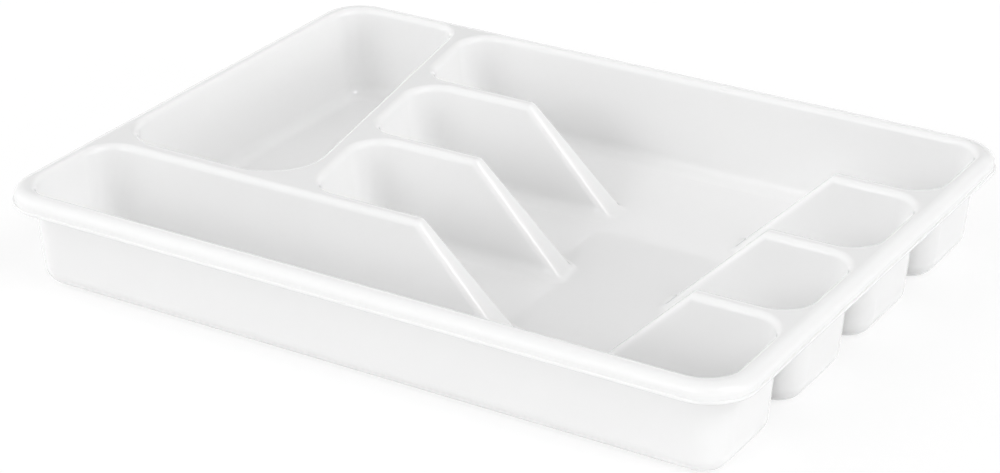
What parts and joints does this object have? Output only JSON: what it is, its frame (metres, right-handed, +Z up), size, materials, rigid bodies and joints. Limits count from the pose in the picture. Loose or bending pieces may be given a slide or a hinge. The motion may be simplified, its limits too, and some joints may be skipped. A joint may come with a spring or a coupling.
{
  "type": "cutlery tray",
  "caption": "Shallow moulded cutlery tray with a rolled rim, long channels, a slanted cross compartment at one end and an open middle between sloped dividers.",
  "frame": {"origin": "on the surface the tray stands on, under the middle of the rim's outline", "axes": "+X along the channels, from the cross compartment towards the end bays; +Y from the front channel to the back one; +Z up, out of the open top"},
  "size_m": [0.395, 0.303, 0.0517],
  "materials": {
    "moulded_plastic": "smooth, glossy, white injection-moulded plastic"
  },
  "bodies": {
    "root": {"rim_front": "moulded_plastic", "rim_back": "moulded_plastic", "rim_left": "moulded_plastic", "rim_right": "moulded_plastic", "front_wall": "moulded_plastic", "back_wall": "moulded_plastic", "floor": "moulded_plastic", "cross_compartment": "moulded_plastic", "channel_end_1": "moulded_plastic", "channel_end_2": "moulded_plastic", "channel_end_3": "moulded_plastic", "channel_end_4": "moulded_plastic", "long_divider_1": "moulded_plastic", "long_divider_2": "moulded_plastic", "long_divider_3": "moulded_plastic", "short_divider_1": "moulded_plastic", "short_divider_2": "moulded_plastic", "short_divider_3": "moulded_plastic", "end_bay_1": "moulded_plastic", "end_bay_2": "moulded_plastic", "end_bay_3": "moulded_plastic", "end_bay_4": "moulded_plastic"}
  },
  "joints": []
}
